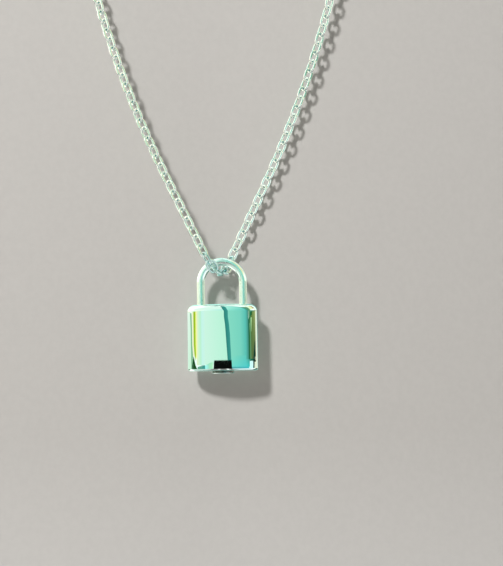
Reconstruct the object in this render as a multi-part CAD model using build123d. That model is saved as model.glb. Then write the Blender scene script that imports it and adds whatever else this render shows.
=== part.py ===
"""Padlock pendant hanging on a fine cable chain, closed at the back of the neck.

Millimetres. +Z is up and the padlock's front faces -Y. The origin is the top middle of the
hanging loop, where the neck or a hook carries it. The padlock hangs at the bottom of the loop.
"""

import math
import os

from build123d import *

# Case of the padlock, a four-centred oval seen from above
case_width = 12.0
case_height = 11.35
case_depth = 5.2
case_side_radius = 1.9
case_shoulder_radius = 1.25
shoulder_flat = 0.1
case_foot_radius = 0.35

# Shackle, a bent round wire with one long and one short leg
shackle_wire = 1.36
leg_spacing = 7.3
leg_rise = 3.8
long_leg_depth = 7.4
short_leg_depth = 2.6
leg_end_radius = 0.25
leg_clearance = 0.06
leg_floor_gap = 0.3
short_leg_lift = 0.4

# Key plug in the foot of the case
plug_diameter = 3.8
plug_seat_depth = 4.6
plug_proud = 0.45
plug_edge_radius = 0.12
plug_clearance = 0.05
plug_floor_gap = 0.1
keyway_width = 0.5
keyway_length = 2.1
keyway_depth = 2.4

# Oval links of the cable chain
link_wire = 0.48
link_width = 1.98
link_pitch = 1.77
link_slack = 0.14
link_roll = 45.0

# Loop of the chain: its whole length, and how each strand leaves the vertical as it rises
chain_length = 400.0
strand_tilt = 25.5
strand_runs = ((14.0, 25.5), (32.0, 16.5), (34.0, 8.0), (46.0, 0.0))

# Clasp and end ring at the back of the neck
clasp_diameter = 5.6
clasp_wire = 0.9
eyelet_diameter = 2.6
eyelet_wire = 0.5
eyelet_overlap = 0.12
end_ring_diameter = 3.8
end_ring_wire = 0.56
ring_slack = 0.12

# Route of the chain where it passes in front of the arch, under it and up behind it: places
# measured from the centre of the arch, and how far the link that starts there is rolled
crossing_route = (
    (-2.72, -2.57, 4.54, -31.0),
    (-2.00, -2.30, 3.28, 61.0),
    (-1.12, -1.45, 2.14, -38.0),
    (-0.30, -0.28, 1.79, 43.0),
    (0.51, 1.16, 2.21, -53.0),
    (1.07, 2.08, 3.24, 40.0),
    (1.59, 2.57, 4.54, 0.0),
)


def crossing_points():
    """Pivots of the chain under the arch, measured from the centre of the arch."""
    return [Vector(x, y, z) for x, y, z, _ in crossing_route]


def loop_middle():
    """Sideways distance from the arch's centre to the middle of the loop."""
    first, last = crossing_points()[0], crossing_points()[-1]
    return (first.X + last.X) / 2


def arc_step(length, tilt_from, tilt_to):
    """Sideways and upward travel of a run whose tilt from the vertical changes evenly."""
    turn = math.radians(tilt_to - tilt_from)
    start = math.radians(tilt_from)
    if abs(turn) < 1e-6:
        return length * math.sin(start), length * math.cos(start)
    radius = length / turn
    side = radius * (math.cos(start) - math.cos(start + turn))
    rise = radius * (math.sin(start + turn) - math.sin(start))
    return side, rise


def strand_half_width():
    """Sideways distance from the loop's middle to its straight side."""
    first, last = crossing_points()[0], crossing_points()[-1]
    width, tilt = (last.X - first.X) / 2, strand_tilt
    for length, tilt_end in strand_runs:
        width += arc_step(length, tilt, tilt_end)[0]
        tilt = tilt_end
    return width


def link_inner_length():
    """Length of the hole in a link."""
    return link_pitch + link_slack


def ring_reach(diameter, wire):
    """Distance from a ring's centre to the middle of its wire."""
    return (diameter - wire) / 2


def end_pivot_offset(wire):
    """Distance from the last pivot of a strand to the middle of the wire that it hangs on."""
    return link_slack / 2 + wire / 2


def clasp_places():
    """Distances along the clasp, from its centre: eyelet, end ring, left pivot, right pivot."""
    clasp_reach = ring_reach(clasp_diameter, clasp_wire)
    eyelet_reach = ring_reach(eyelet_diameter, eyelet_wire)
    end_reach = ring_reach(end_ring_diameter, end_ring_wire)
    eyelet = clasp_diameter / 2 + eyelet_diameter / 2 - eyelet_overlap
    end_ring = clasp_reach - clasp_wire / 2 - ring_slack - end_ring_wire / 2 + end_reach
    left_pivot = eyelet + eyelet_reach - end_pivot_offset(eyelet_wire)
    right_pivot = end_ring + end_reach - end_pivot_offset(end_ring_wire)
    return eyelet, end_ring, left_pivot, right_pivot


def clasp_half_span():
    """Half the distance between the two strands' last pivots."""
    _, _, left_pivot, right_pivot = clasp_places()
    return (left_pivot + right_pivot) / 2


def strand_route():
    """Runs of one strand from the crossing to the clasp, each a length and its two tilts."""
    points = crossing_points()
    crossing = sum((b - a).length for a, b in zip(points, points[1:]))
    top_turn = math.pi / 2 * (strand_half_width() - clasp_half_span())
    bent = sum(length for length, _ in strand_runs)
    straight = chain_length / 2 - crossing / 2 - clasp_half_span() - bent - top_turn
    runs, tilt = [], strand_tilt
    for length, tilt_end in strand_runs:
        runs.append((length, tilt, tilt_end))
        tilt = tilt_end
    return runs + [(straight, tilt, tilt), (top_turn, tilt, -90.0)]


def strand_place(distance):
    """Sideways and upward travel along a strand, from its foot."""
    side, rise = 0.0, 0.0
    for length, tilt_from, tilt_to in strand_route():
        part = min(distance, length)
        tilt_there = tilt_from + (tilt_to - tilt_from) * part / length
        step = arc_step(part, tilt_from, tilt_there)
        side, rise = side + step[0], rise + step[1]
        distance -= part
        if distance <= 0:
            break
    return side, rise


def strand_points(foot, sign):
    """Evenly spaced pivots of one strand, from the crossing to the clasp."""
    whole = sum(length for length, _, _ in strand_route())
    count = round(whole / link_pitch)
    points = []
    for i in range(count + 1):
        side, rise = strand_place(whole * i / count)
        points.append(Vector(foot.X + sign * side, foot.Y * (1 - i / count), foot.Z + rise))
    return points


def loop_top():
    """Height of the loop's top above the centre of the arch."""
    whole = sum(length for length, _, _ in strand_route())
    return crossing_points()[0].Z + strand_place(whole)[1]


def arch_centre():
    """Place of the arch's centre, measured from the top middle of the loop."""
    return Vector(-loop_middle(), 0, -loop_top())


def case_top():
    """Height of the case's top face."""
    return arch_centre().Z - leg_rise


def case_foot():
    """Height of the case's bottom face."""
    return case_top() - case_height


def case_outline():
    """Oval seen from above: two wide arcs for the faces, tangent to two small ones at the sides."""
    side_reach = case_width / 2 - case_side_radius
    side_room = case_depth / 2 - case_side_radius
    offset = (side_reach**2 - side_room**2) / (2 * side_room)
    face_radius = case_depth / 2 + offset
    half_angle = math.degrees(math.atan2(side_reach, offset))
    side_angle = 180 - 2 * half_angle
    front = CenterArc((0, offset), face_radius, -90 - half_angle, 2 * half_angle)
    right = CenterArc((side_reach, 0), case_side_radius, -90 + half_angle, side_angle)
    back = CenterArc((0, -offset), face_radius, 90 - half_angle, 2 * half_angle)
    left = CenterArc((-side_reach, 0), case_side_radius, 90 + half_angle, side_angle)
    return make_face(front + right + back + left)


def upright_rod(radius, low, high, x):
    """Round rod between two heights."""
    height = high - low
    return Pos(x, 0, low + height / 2) * Cylinder(radius, height)


def lock_case():
    """Case with rounded shoulders, two bores for the legs and one for the key plug."""
    middle = arch_centre().X
    body = Pos(middle, 0, case_foot()) * extrude(case_outline(), case_height)
    rims = body.edges().group_by(Axis.Z)
    shoulder = min(case_shoulder_radius, case_side_radius - shoulder_flat)
    body = fillet(rims[-1], shoulder)
    body = fillet(body.edges().group_by(Axis.Z)[0], case_foot_radius)
    bore = shackle_wire / 2 + leg_clearance
    for side, depth in ((-1, long_leg_depth), (1, short_leg_depth)):
        x = middle + side * leg_spacing / 2
        body -= upright_rod(bore, case_top() - depth - leg_floor_gap, case_top() + leg_rise, x)
    seat = plug_diameter / 2 + plug_clearance
    body -= upright_rod(seat, case_foot() - plug_proud, case_foot() + plug_seat_depth, middle)
    return body


def key_plug():
    """Round plug with a keyway across its face."""
    middle = arch_centre().X
    low = case_foot() - plug_proud
    high = case_foot() + plug_seat_depth - plug_floor_gap
    plug = upright_rod(plug_diameter / 2, low, high, middle)
    plug = fillet(plug.edges().group_by(Axis.Z)[0], plug_edge_radius)
    slot = Box(keyway_width, keyway_length, 2 * keyway_depth)
    return plug - Pos(middle, 0, low) * slot


def shackle():
    """Round wire bent to a half circle, with its ends rounded."""
    centre = arch_centre()
    reach = leg_spacing / 2
    long_end = Vector(centre.X - reach, 0, case_top() - long_leg_depth)
    left = Vector(centre.X - reach, 0, centre.Z)
    crown = Vector(centre.X, 0, centre.Z + reach)
    right = Vector(centre.X + reach, 0, centre.Z)
    short_end = Vector(centre.X + reach, 0, case_top() - short_leg_depth)
    path = Line(long_end, left) + ThreePointArc(left, crown, right) + Line(right, short_end)
    wire = sweep(Plane(long_end, z_dir=(0, 0, 1)) * Circle(shackle_wire / 2), path=path)
    ends = wire.faces().filter_by(GeomType.PLANE)
    return fillet(ends.edges(), leg_end_radius)


def oval_link():
    """One chain link at the origin, long along X and flat in the XY plane."""
    bend = (link_width - link_wire) / 2
    straight = link_inner_length() + link_wire - 2 * bend
    radius = link_wire / 2
    half_ring = Rot(0, 0, -90) * revolve(Plane.XZ * Pos(bend, 0) * Circle(radius), Axis.Z, 180)
    bar = Rot(0, 90, 0) * Cylinder(radius, straight)
    ends = Pos(straight / 2, 0, 0) * half_ring + Pos(-straight / 2, 0, 0) * Rot(0, 0, 180) * half_ring
    return (ends + Pos(0, bend, 0) * bar + Pos(0, -bend, 0) * bar).solid()


def link_place(start, end, roll, side_axis):
    """Where a link between two pivots lies, rolled about its length from a given side axis."""
    along = (end - start).normalized()
    side = (side_axis - along * side_axis.dot(along)).normalized()
    across = side.cross(along)
    width = across * math.cos(math.radians(roll)) + side * math.sin(math.radians(roll))
    return Plane((start + end) / 2, x_dir=along, z_dir=along.cross(width)).location


def strand_places(foot, sign):
    """Places of one strand's links, each rolled the other way from the last."""
    points = strand_points(foot, sign)
    rolls = [link_roll if i % 2 == 0 else -link_roll for i in range(len(points) - 1)]
    depth = Vector(0, 1, 0)
    return [link_place(a, b, roll, depth) for a, b, roll in zip(points, points[1:], rolls)]


def crossing_places():
    """Places of the links that pass under the arch."""
    points = crossing_points()
    sideways = Vector(1, 0, 0)
    rolls = [row[3] for row in crossing_route]
    return [link_place(a, b, roll, sideways) for a, b, roll in zip(points, points[1:], rolls)]


def cable_chain():
    """Every link of the chain, each a loose solid."""
    points = crossing_points()
    places = crossing_places()
    places += strand_places(points[0], -1) + strand_places(points[-1], 1)
    link = oval_link()
    return Pos(arch_centre()) * Compound([link.moved(place) for place in places])


def last_roll():
    """Roll of the last link of both strands."""
    whole = sum(length for length, _, _ in strand_route())
    count = round(whole / link_pitch)
    return link_roll if (count - 1) % 2 == 0 else -link_roll


def ring_plane(x, roll):
    """Plane of a ring at the top of the loop, rolled about the loop's own direction."""
    angle = math.radians(roll)
    return Plane((x, 0, 0), x_dir=(1, 0, 0), z_dir=(0, -math.cos(angle), math.sin(angle)))


def clasp_middle():
    """Sideways place of the clasp's centre, so that both strands end alike."""
    _, _, left_pivot, right_pivot = clasp_places()
    return (left_pivot - right_pivot) / 2


def clasp():
    """Plain round clasp with its soldered eyelet."""
    eyelet_place = clasp_places()[0]
    ring = Torus(ring_reach(clasp_diameter, clasp_wire), clasp_wire / 2)
    eyelet = Torus(ring_reach(eyelet_diameter, eyelet_wire), eyelet_wire / 2)
    return ring_plane(clasp_middle(), last_roll()) * (ring + Pos(-eyelet_place, 0, 0) * eyelet)


def end_ring():
    """Plain ring on the chain's other end, closed through the clasp."""
    place = clasp_middle() + clasp_places()[1]
    ring = Torus(ring_reach(end_ring_diameter, end_ring_wire), end_ring_wire / 2)
    return ring_plane(place, last_roll() + 90) * ring


def write_parts():
    """Each piece to its own file."""
    os.makedirs("parts", exist_ok=True)
    for piece in (lock_case, key_plug, shackle, cable_chain, clasp, end_ring):
        export_step(piece(), f"parts/{piece.__name__}.step")


write_parts()
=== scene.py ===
"""Looks of a padlock pendant on a cable chain: its polished pieces, its finishes and its studio."""

import math

import bpy
import numpy as np
from mathutils import Matrix, Vector


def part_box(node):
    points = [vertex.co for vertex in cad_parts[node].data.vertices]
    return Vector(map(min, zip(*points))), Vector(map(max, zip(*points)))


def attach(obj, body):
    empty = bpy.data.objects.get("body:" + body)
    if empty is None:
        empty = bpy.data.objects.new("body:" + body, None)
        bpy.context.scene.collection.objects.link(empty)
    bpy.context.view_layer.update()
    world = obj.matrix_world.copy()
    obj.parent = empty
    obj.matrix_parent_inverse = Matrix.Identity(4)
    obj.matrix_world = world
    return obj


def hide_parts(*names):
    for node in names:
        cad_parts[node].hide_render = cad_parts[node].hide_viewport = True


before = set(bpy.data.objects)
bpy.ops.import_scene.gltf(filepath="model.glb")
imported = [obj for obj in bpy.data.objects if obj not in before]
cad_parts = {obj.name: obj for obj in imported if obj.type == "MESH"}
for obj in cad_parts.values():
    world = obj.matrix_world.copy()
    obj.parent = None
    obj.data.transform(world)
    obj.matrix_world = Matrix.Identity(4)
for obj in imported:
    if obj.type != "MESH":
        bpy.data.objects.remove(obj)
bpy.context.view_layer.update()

bl_info = {
    "name": "Padlock pendant",
    "version": (1, 0, 0),
    "blender": (4, 5, 0),
    "location": "3D View > Sidebar > Pendant",
    "description": "Padlock pendant on a cable chain, with its finishes and a studio",
    "category": "Add Mesh",
}

mm = 0.001
case_low, case_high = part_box("lock_case")
plug_low, plug_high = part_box("key_plug")
shackle_low, shackle_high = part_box("shackle")
case_middle = (case_low.x + case_high.x) / 2
plug_middle = (plug_low.x + plug_high.x) / 2
shackle_middle = (shackle_low.x + shackle_high.x) / 2

# Pivots of the chain under the arch, in millimetres from the arch's centre, and each link's roll
# in degrees
crossing_route = (
    (-2.72, -2.57, 4.54, -31.0),
    (-2.00, -2.30, 3.28, 61.0),
    (-1.12, -1.45, 2.14, -38.0),
    (-0.30, -0.28, 1.79, 43.0),
    (0.51, 1.16, 2.21, -53.0),
    (1.07, 2.08, 3.24, 40.0),
    (1.59, 2.57, 4.54, 0.0),
)

# Tilt of each strand at its foot, in degrees, and its runs as it rises back to the vertical: the
# length of a run in millimetres, and the tilt at its end
strand_tilt = 25.5
strand_runs = ((14.0, 25.5), (32.0, 16.5), (34.0, 8.0), (46.0, 0.0))

# Painted shade on whole links near the arch, which shades them: its share, and in millimetres,
# how high over the arch's centre it ends and over what height it fades
arch_shade = 0.58
shade_top = 7.2
shade_fade = 3.0

# Camera: its place from the arch's centre in millimetres, and its directions
camera_place = (6.357, -137.589, -15.726)
camera_right = (0.99977, 0.01092, -0.0185)
camera_ahead = (-0.00877, 0.99361, 0.11253)
camera_up = (0.01961, -0.11234, 0.99348)

# Direction from the arch to the main light
key_direction = (-0.48, -1.0, 0.77)

# Surroundings beyond the paper and the cards: as seen by the camera, and as mirrored by the metal
seen_surroundings = (0.78, 0.77, 0.75)
mirrored_surroundings = (0.90, 1.0, 0.96)


def panel(low, high, left, right):
    """Rows of a card whose sides run straight up."""
    return (low, left, right), (high, left, right)


# Cards that the metal mirrors, the nearest first. Each has rows of elevation and of left and right
# bearing, in degrees as seen from the padlock, and then its colour. Two colours are those of its
# left and right edge, and four are those of its bottom left, bottom right, top left and top right.
mirrored_cards = {
    # In front of everything else
    "dark flag": (
        ((-14, -16.5, 12), (0.42, -15.3, 11.2), (1.06, -14.2, 10.7)),
        (0.004, 0.004, 0.004),
    ),
    "slanting post": (
        ((-1, 6.3, 11.5), (1.02, 5.1, 10.4), (2.25, 3.7, 9.4), (3.04, 2.9, 8.9), (3.85, 1.9, 7.7),
         (4.42, 0.6, 6.3), (9, 0, 5.8), (19, -0.6, 5.4), (58, -4.7, 4.1), (76, -14, 1),
         (84, -30, -8)),
        (0.03, 0.24, 0.21), (0.056, 0.34, 0.31),
    ),
    # Low round the legs
    "leg cream": (panel(4.8, 9.5, -150, -92), (0.95, 0.85, 0.55), (1.0, 0.98, 0.75)),
    "leg white": (panel(4.8, 9.5, -92, -52), (1.15, 1.15, 0.95), (0.72, 1.0, 0.78)),
    "leg green": (panel(4.8, 9.5, 40, 100), (0.13, 0.4, 0.28), (0.1, 0.24, 0.13)),
    "leg edge": (panel(4.8, 9.5, 100, 150), (0.15, 0.24, 0.14), (1.2, 1.1, 0.8)),
    # Round the links, a little higher
    "chain white": (panel(9.5, 28, -150, -60), (1.8, 1.8, 1.7), (1.15, 1.3, 1.15)),
    "chain pale": (
        panel(9.5, 28, -60, -32),
        (1.25, 1.2, 1.05), (0.9, 1.05, 0.92), (1.4, 1.35, 1.2), (0.95, 1.05, 0.92),
    ),
    "chain mint": (panel(9.5, 28, -32, 4), (0.9, 1.08, 0.98), (0.42, 0.9, 0.82)),
    "chain cyan": (panel(9.5, 28, 4, 31), (0.36, 0.88, 0.74), (0.16, 0.66, 0.58)),
    "chain cream": (panel(9.5, 28, 50, 104), (0.8, 1.1, 0.98), (1.6, 1.6, 1.4)),
    # At the case's foot, from left to right
    "wedge streak": (((0.2, -67, -63), (0.8, -59, -56)), (0.15, 0.26, 0.17)),
    "dark wedge": (
        ((-2, -76, -36), (0.43, -74, -39.5), (0.7, -71, -41.7), (1.04, -61.6, -43.2),
         (1.36, -55, -52)),
        (0.012, 0.07, 0.022), (0.012, 0.08, 0.015),
    ),
    "low teal patch": (
        ((-3, -39, -27), (0.57, -38.8, -27.4), (0.68, -31, -27.4)),
        (0.17, 0.42, 0.28), (0.036, 0.33, 0.32),
    ),
    "low cyan patch": (panel(-3, 0.68, -27.4, -22), (0.45, 1.1, 1.05), (0.42, 0.85, 0.72)),
    "low green patch": (
        ((-3, -22, -15), (0.68, -26, -16), (0.9, -19, -16)),
        (0.38, 0.84, 0.62), (0.52, 0.92, 0.58),
    ),
    "low line right": (panel(-3, 0.5, 10, 36), (0.1, 0.4, 0.42), (0.06, 0.52, 0.6)),
    "low teal": (
        panel(0.5, 1.4, 11, 31.5),
        (0.2, 0.76, 0.68), (0.11, 0.66, 0.66), (0.27, 0.76, 0.61), (0.144, 0.64, 0.56),
    ),
    "low teal edge": (
        panel(0.5, 1.1, 31.5, 37),
        (0.11, 0.66, 0.66), (0.04, 0.6, 0.56), (0.14, 0.62, 0.56), (0.07, 0.36, 0.3),
    ),
    "low white right": (
        ((-3, 34.5, 69), (0.4, 35.5, 69), (0.68, 36.6, 69.5), (0.97, 37, 70)),
        (0.75, 1.1, 1.1), (0.8, 1.1, 1.1),
    ),
    "low dark right": (
        ((-2, 69, 90), (0.4, 69, 86), (0.82, 71, 89), (1.5, 79, 98), (2.5, 97, 105)),
        (0.012, 0.07, 0.06), (0.001, 0.012, 0.004),
    ),
    "low dark cap": (panel(0.97, 1.13, 36.7, 100), (0.016, 0.2, 0.12), (0.001, 0.015, 0.004)),
    # On the case's left, from the front to the side
    "lime edge": (
        ((1.04, -42.6, -41.9), (1.49, -43.1, -40.9), (2.29, -51.1, -41.4), (5, -53, -41.2)),
        (0.44, 0.56, 0.08), (0.4, 0.62, 0.01),
    ),
    "yellow edge": (
        ((1.2, -41, -39), (2.3, -41.4, -38.7), (5.5, -41.6, -39.3)),
        (1.05, 1.0, 0.22), (1.1, 1.0, 0.6),
    ),
    "left pale strip": (
        ((1.36, -58, -42), (1.49, -60.8, -42), (2.29, -68.1, -50), (3.47, -69.8, -52),
         (6, -75, -51)),
        (1.02, 0.99, 0.74), (1.1, 1.0, 0.72),
    ),
    "left green": (
        ((-3, -84, -56), (0.71, -84.6, -60), (1.49, -84.5, -60), (2.29, -87.2, -68),
         (3.47, -87.7, -69.8), (4.7, -97, -74)),
        (0.3, 0.56, 0.36), (0.25, 0.52, 0.28),
    ),
    "left pale wall": (
        panel(-3, 6, -150, -84),
        (0.58, 0.92, 0.7), (0.58, 0.95, 0.64), (1.0, 1.05, 1.0), (0.92, 1.03, 0.9),
    ),
    "left bright wall": (
        ((5, -150, -60), (14, -150, -54), (20, -150, -50), (31, -150, -48), (47, -150, -48),
         (62, -150, -50), (72, -150, -64)),
        (1.3, 1.4, 1.3), (1.2, 1.35, 1.2),
    ),
    # On the case's front, from left to right
    "cream strip": (panel(0.7, 9, -40, -35), (0.95, 0.97, 0.66), (0.68, 0.97, 0.7)),
    "green strip": (panel(0.7, 9, -35, -32.5), (0.62, 0.96, 0.7), (0.62, 0.95, 0.74)),
    "pale blue strip": (panel(0.7, 9, -32.5, -27.5), (0.66, 0.97, 0.9), (0.72, 0.98, 0.88)),
    "mint wall": (
        ((0.7, -27.5, 8), (4.4, -27.5, 4), (9, -27.5, 3)),
        (0.72, 0.98, 0.84), (0.57, 0.96, 0.76),
    ),
    "high mint wall": (
        ((4.5, -52, 3), (60, -46, 0), (80, -46, -14)),
        (0.86, 1.03, 0.94), (0.8, 1.02, 0.92),
    ),
    "teal wall west": (
        ((0.7, 6, 24), (4.4, 2, 24), (6, 2, 24)),
        (0.29, 0.77, 0.62), (0.226, 0.7, 0.58),
    ),
    "teal wall": (panel(0.7, 6, 24, 31.5), (0.226, 0.7, 0.58), (0.125, 0.58, 0.51)),
    "high teal wall": (
        ((6, 2, 31.5), (60, 0, 31.5), (150, 0, 31.5)),
        (0.36, 0.88, 0.74), (0.16, 0.64, 0.54), (0.7, 1.1, 1.0), (0.5, 1.0, 0.9),
    ),
    "teal wall east": (panel(0.7, 120, 31.5, 36), (0.125, 0.58, 0.51), (0.055, 0.24, 0.19)),
    # On the case's right, from the front to the side
    "right green line": (
        ((0.95, 35.4, 37.8), (2.25, 35.8, 38.6), (3.03, 35.3, 37.9), (3.8, 34.8, 37.2),
         (4.2, 36, 40), (4.5, 40, 66), (5.2, 44, 66)),
        (0.03, 0.19, 0.09), (0.016, 0.12, 0.03),
    ),
    "right bright spot": (
        ((3.2, 52, 54), (3.8, 50, 58), (4.3, 51, 62)),
        (0.45, 0.75, 0.38), (0.58, 0.82, 0.4),
    ),
    "right green": (((0.9, 37, 50), (5.5, 36, 50)), (0.15, 0.37, 0.2), (0.12, 0.28, 0.12)),
    "right olive": (
        panel(0.9, 5.5, 50, 112),
        (0.13, 0.2, 0.08), (0.01, 0.03, 0.01), (0.09, 0.2, 0.035), (0.48, 0.54, 0.2),
    ),
    "right pale wall": (
        ((-3, 84, 150), (0.82, 88.6, 150), (1.46, 97, 150), (2.24, 103.6, 150), (3.02, 107, 150),
         (6, 104, 150)),
        (0.85, 0.9, 0.7), (1.05, 1.0, 0.85),
    ),
    "right green shoulder": (
        ((5, 34, 50), (20, 34, 44), (35, 34, 41), (60, 34, 50)),
        (0.12, 0.36, 0.2), (0.14, 0.36, 0.18),
    ),
    "right cream": (
        ((5, 44, 100), (20, 43, 90), (35, 40, 86), (50, 48, 90), (70, 60, 96)),
        (0.95, 1.05, 0.64), (1.1, 0.95, 0.5),
    ),
    "right ochre": (panel(5, 70, 84, 112), (0.4, 0.3, 0.12), (0.5, 0.4, 0.24)),
    # Below the case, for its rounded foot
    "foot spot left": (((-80, -28, -18), (-50, -11, -7), (-5, -7.8, -4.8)), (0.8, 0.78, 0.78)),
    "foot spot right": (((-80, 10, 21), (-50, 4, 8), (-5, 2.8, 5.8)), (1.2, 1.2, 1.2)),
    "foot under flag": (
        ((-85, -75, 55), (-50, -26, 17), (-10, -17, 11)),
        (0.3, 0.3, 0.29), (0.3, 0.28, 0.28),
    ),
    "foot left": (
        ((-85, -125, -17), (-45, -90, -17), (-20, -62, -17), (-3, -42, -17)),
        (0.62, 0.85, 0.74), (0.62, 0.72, 0.68),
    ),
    "foot right": (
        ((-85, 11, 125), (-45, 11, 100), (-3, 11, 80)),
        (0.5, 0.8, 0.82), (1.3, 1.25, 1.25),
    ),
    "rim light": (panel(-62, -25, -155, -85), (1.7, 1.65, 1.6)),
    # Below the wires, for their undersides
    "low back wall": (
        panel(-60, -20, 150, 210),
        (0.1, 0.4, 0.36), (0.3, 0.55, 0.48), (0.2, 0.6, 0.52), (0.55, 0.85, 0.75),
    ),
    "low left rim": (panel(-45, -2, -150, -102), (0.06, 0.08, 0.06)),
    "low cream left": (
        panel(-28, -2, -102, -32),
        (1.6, 1.6, 1.4), (0.5, 0.85, 0.8), (1.8, 1.8, 1.55), (0.9, 1.15, 1.1),
    ),
    "low mint": (
        panel(-28, -2, -32, 25),
        (0.03, 0.24, 0.22), (0.03, 0.24, 0.22), (0.3, 0.75, 0.7), (0.24, 0.75, 0.7),
    ),
    "low cyan right": (
        panel(-28, -2, 25, 102),
        (0.2, 0.6, 0.6), (1.4, 1.65, 1.65), (0.4, 0.95, 0.92), (1.6, 1.8, 1.8),
    ),
    "low right rim": (panel(-45, -2, 102, 150), (0.06, 0.08, 0.06)),
    # On the floor
    "floor shade left": (panel(-88, -20, -180, -90), (0.02, 0.05, 0.05)),
    "floor shade": (panel(-88, -20, -90, 90), (0.05, 0.17, 0.15)),
    "floor shade right": (panel(-88, -20, 90, 180), (0.02, 0.05, 0.05)),
    # Behind the padlock
    "back stripe": (((-20, 168, 176), (60, 160, 169)), (0.04, 0.24, 0.21), (0.05, 0.28, 0.25)),
    "back teal wall": (((-20, 150, 170), (70, 150, 164)), (0.14, 0.52, 0.44), (0.27, 0.72, 0.6)),
    "back mint wall": (((-20, 172, 210), (70, 166, 210)), (0.66, 0.98, 0.88), (0.82, 0.98, 0.8)),
}


def size(name, description, default):
    """A length that a user can change, in the scene's units."""
    return bpy.props.FloatProperty(
        name=name, description=description, default=default, min=0.0, precision=5, unit="LENGTH"
    )


def tint(name, description, default):
    """A colour that a user can change."""
    return bpy.props.FloatVectorProperty(
        name=name, description=description, default=default, min=0.0, max=1.0, subtype="COLOR"
    )


def share(name, description, default):
    """A strength from none to all."""
    return bpy.props.FloatProperty(
        name=name, description=description, default=default, min=0.0, max=1.0, subtype="FACTOR"
    )


def angle(name, description, degrees):
    """An angle that a user can change."""
    return bpy.props.FloatProperty(
        name=name, description=description, default=math.radians(degrees), subtype="ANGLE"
    )


def settings_of(kind, name, description):
    """A group of settings."""
    return bpy.props.PointerProperty(type=kind, name=name, description=description)


class CaseSizes(bpy.types.PropertyGroup):
    """Sizes of the padlock's case."""

    width: size("Width", "Case from side to side", case_high.x - case_low.x)
    depth: size("Depth", "Case from front to back", case_high.y - case_low.y)
    side_radius: size("Side radius", "Rounding of the sides, seen from above", 1.9 * mm)
    shoulder_radius: size("Shoulder radius", "Rounding of the top rim", 1.25 * mm)
    foot_radius: size("Foot radius", "Rounding of the bottom rim", 0.35 * mm)
    mouth_radius: size("Mouth radius", "Rounding of the bores' mouths", 0.03 * mm)
    leg_spacing: size("Leg spacing", "Distance between the two legs", 7.3 * mm)
    bore_radius: size("Bore radius", "Radius of the two bores for the legs", 0.74 * mm)
    long_bore: size("Long bore", "Depth of the bore for the long leg", 7.7 * mm)
    short_bore: size("Short bore", "Depth of the bore for the short leg", 2.9 * mm)
    seat_radius: size("Seat radius", "Radius of the plug's seat", 1.95 * mm)
    seat_depth: size("Seat depth", "Depth of the plug's seat", 4.6 * mm)


class PlugSizes(bpy.types.PropertyGroup):
    """Sizes of the key plug."""

    radius: size("Radius", "Radius of the plug", (plug_high.x - plug_low.x) / 2)
    rim_radius: size("Rim radius", "Rounding of the plug's rim", 0.12 * mm)
    keyway_width: size("Keyway width", "Width of the keyway", 0.5 * mm)
    keyway_length: size("Keyway length", "Length of the keyway", 2.1 * mm)
    keyway_depth: size("Keyway depth", "Depth of the keyway", 2.4 * mm)
    keyway_corner: size("Keyway corner", "Rounding of the keyway's corners", 0.07 * mm)
    keyway_mouth: size("Keyway mouth", "Rounding of the keyway's mouth", 0.04 * mm)


class ShackleSizes(bpy.types.PropertyGroup):
    """Sizes of the shackle."""

    wire: size("Wire", "Thickness of the shackle's wire", shackle_high.y - shackle_low.y)
    leg_rise: size("Leg rise", "Height of the arch's centre over the case", 3.8 * mm)
    short_leg_depth: size("Short leg depth", "Depth of the short leg in the case", 2.6 * mm)
    end_radius: size("End radius", "Rounding of the legs' ends", 0.25 * mm)


class ChainSizes(bpy.types.PropertyGroup):
    """Sizes of the cable chain and of its clasp."""

    length: size("Length", "Whole length of the necklace", 400 * mm)
    link_wire: size("Link wire", "Thickness of a link's wire", 0.48 * mm)
    link_width: size("Link width", "Width of a link", 1.98 * mm)
    link_pitch: size("Link pitch", "Distance from one link to the next", 1.77 * mm)
    link_play: size("Link play", "Length of a link's hole beyond the pitch", 0.06 * mm)
    link_roll: angle("Link roll", "Roll from the loop's plane, the other way on each next link", 45)
    clasp_diameter: size("Clasp diameter", "Clasp across its outside", 5.6 * mm)
    clasp_wire: size("Clasp wire", "Thickness of the clasp's wire", 0.9 * mm)
    eyelet_diameter: size("Eyelet diameter", "Eyelet across its outside", 2.6 * mm)
    eyelet_wire: size("Eyelet wire", "Thickness of the eyelet's wire", 0.5 * mm)
    eyelet_overlap: size("Eyelet overlap", "How deep the eyelet is soldered in", 0.12 * mm)
    ring_diameter: size("End ring diameter", "End ring across its outside", 3.8 * mm)
    ring_wire: size("End ring wire", "Thickness of the end ring's wire", 0.56 * mm)
    ring_play: size("End ring play", "Gap from the end ring to the clasp", 0.12 * mm)
    end_play: size("End play", "Gap between a strand's last pivot and its ring", 0.07 * mm)


class FinishSettings(bpy.types.PropertyGroup):
    """Colours, wear and painted shade of the polished steel."""

    # The steel and the wire are tinted mint: a cool steel colour, and partly a painted reflection
    # of the mint surroundings that the polish mirrors
    steel: tint("Steel", "Colour of the polished steel", (0.83, 0.94, 0.90))
    worn_steel: tint("Worn steel", "Colour of rubbed edges", (0.90, 0.95, 0.93))
    drawn_wire: tint("Drawn wire", "Colour of the shackle's wire", (0.95, 1.0, 0.96))
    chain_wire: tint("Chain wire", "Colour of the links' wire", (0.93, 0.90, 0.86))
    dark_plug: tint("Dark plug", "Colour of the darkened key plug", (0.16, 0.16, 0.15))
    # Painted shade: a cyan that darkens the links where they meet and under the arch, standing in
    # for their shade and for the teal that they mirror there
    painted_shade: tint("Tarnish", "Colour where polish can't reach", (0.0, 0.44, 0.50))
    scratches: share("Scratches", "How much the fine scratches show", 0.35)
    smudges: share("Smudges", "How much handling dulls the polish", 0.5)
    wear: share("Wear", "How much edges are rubbed", 0.5)


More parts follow.
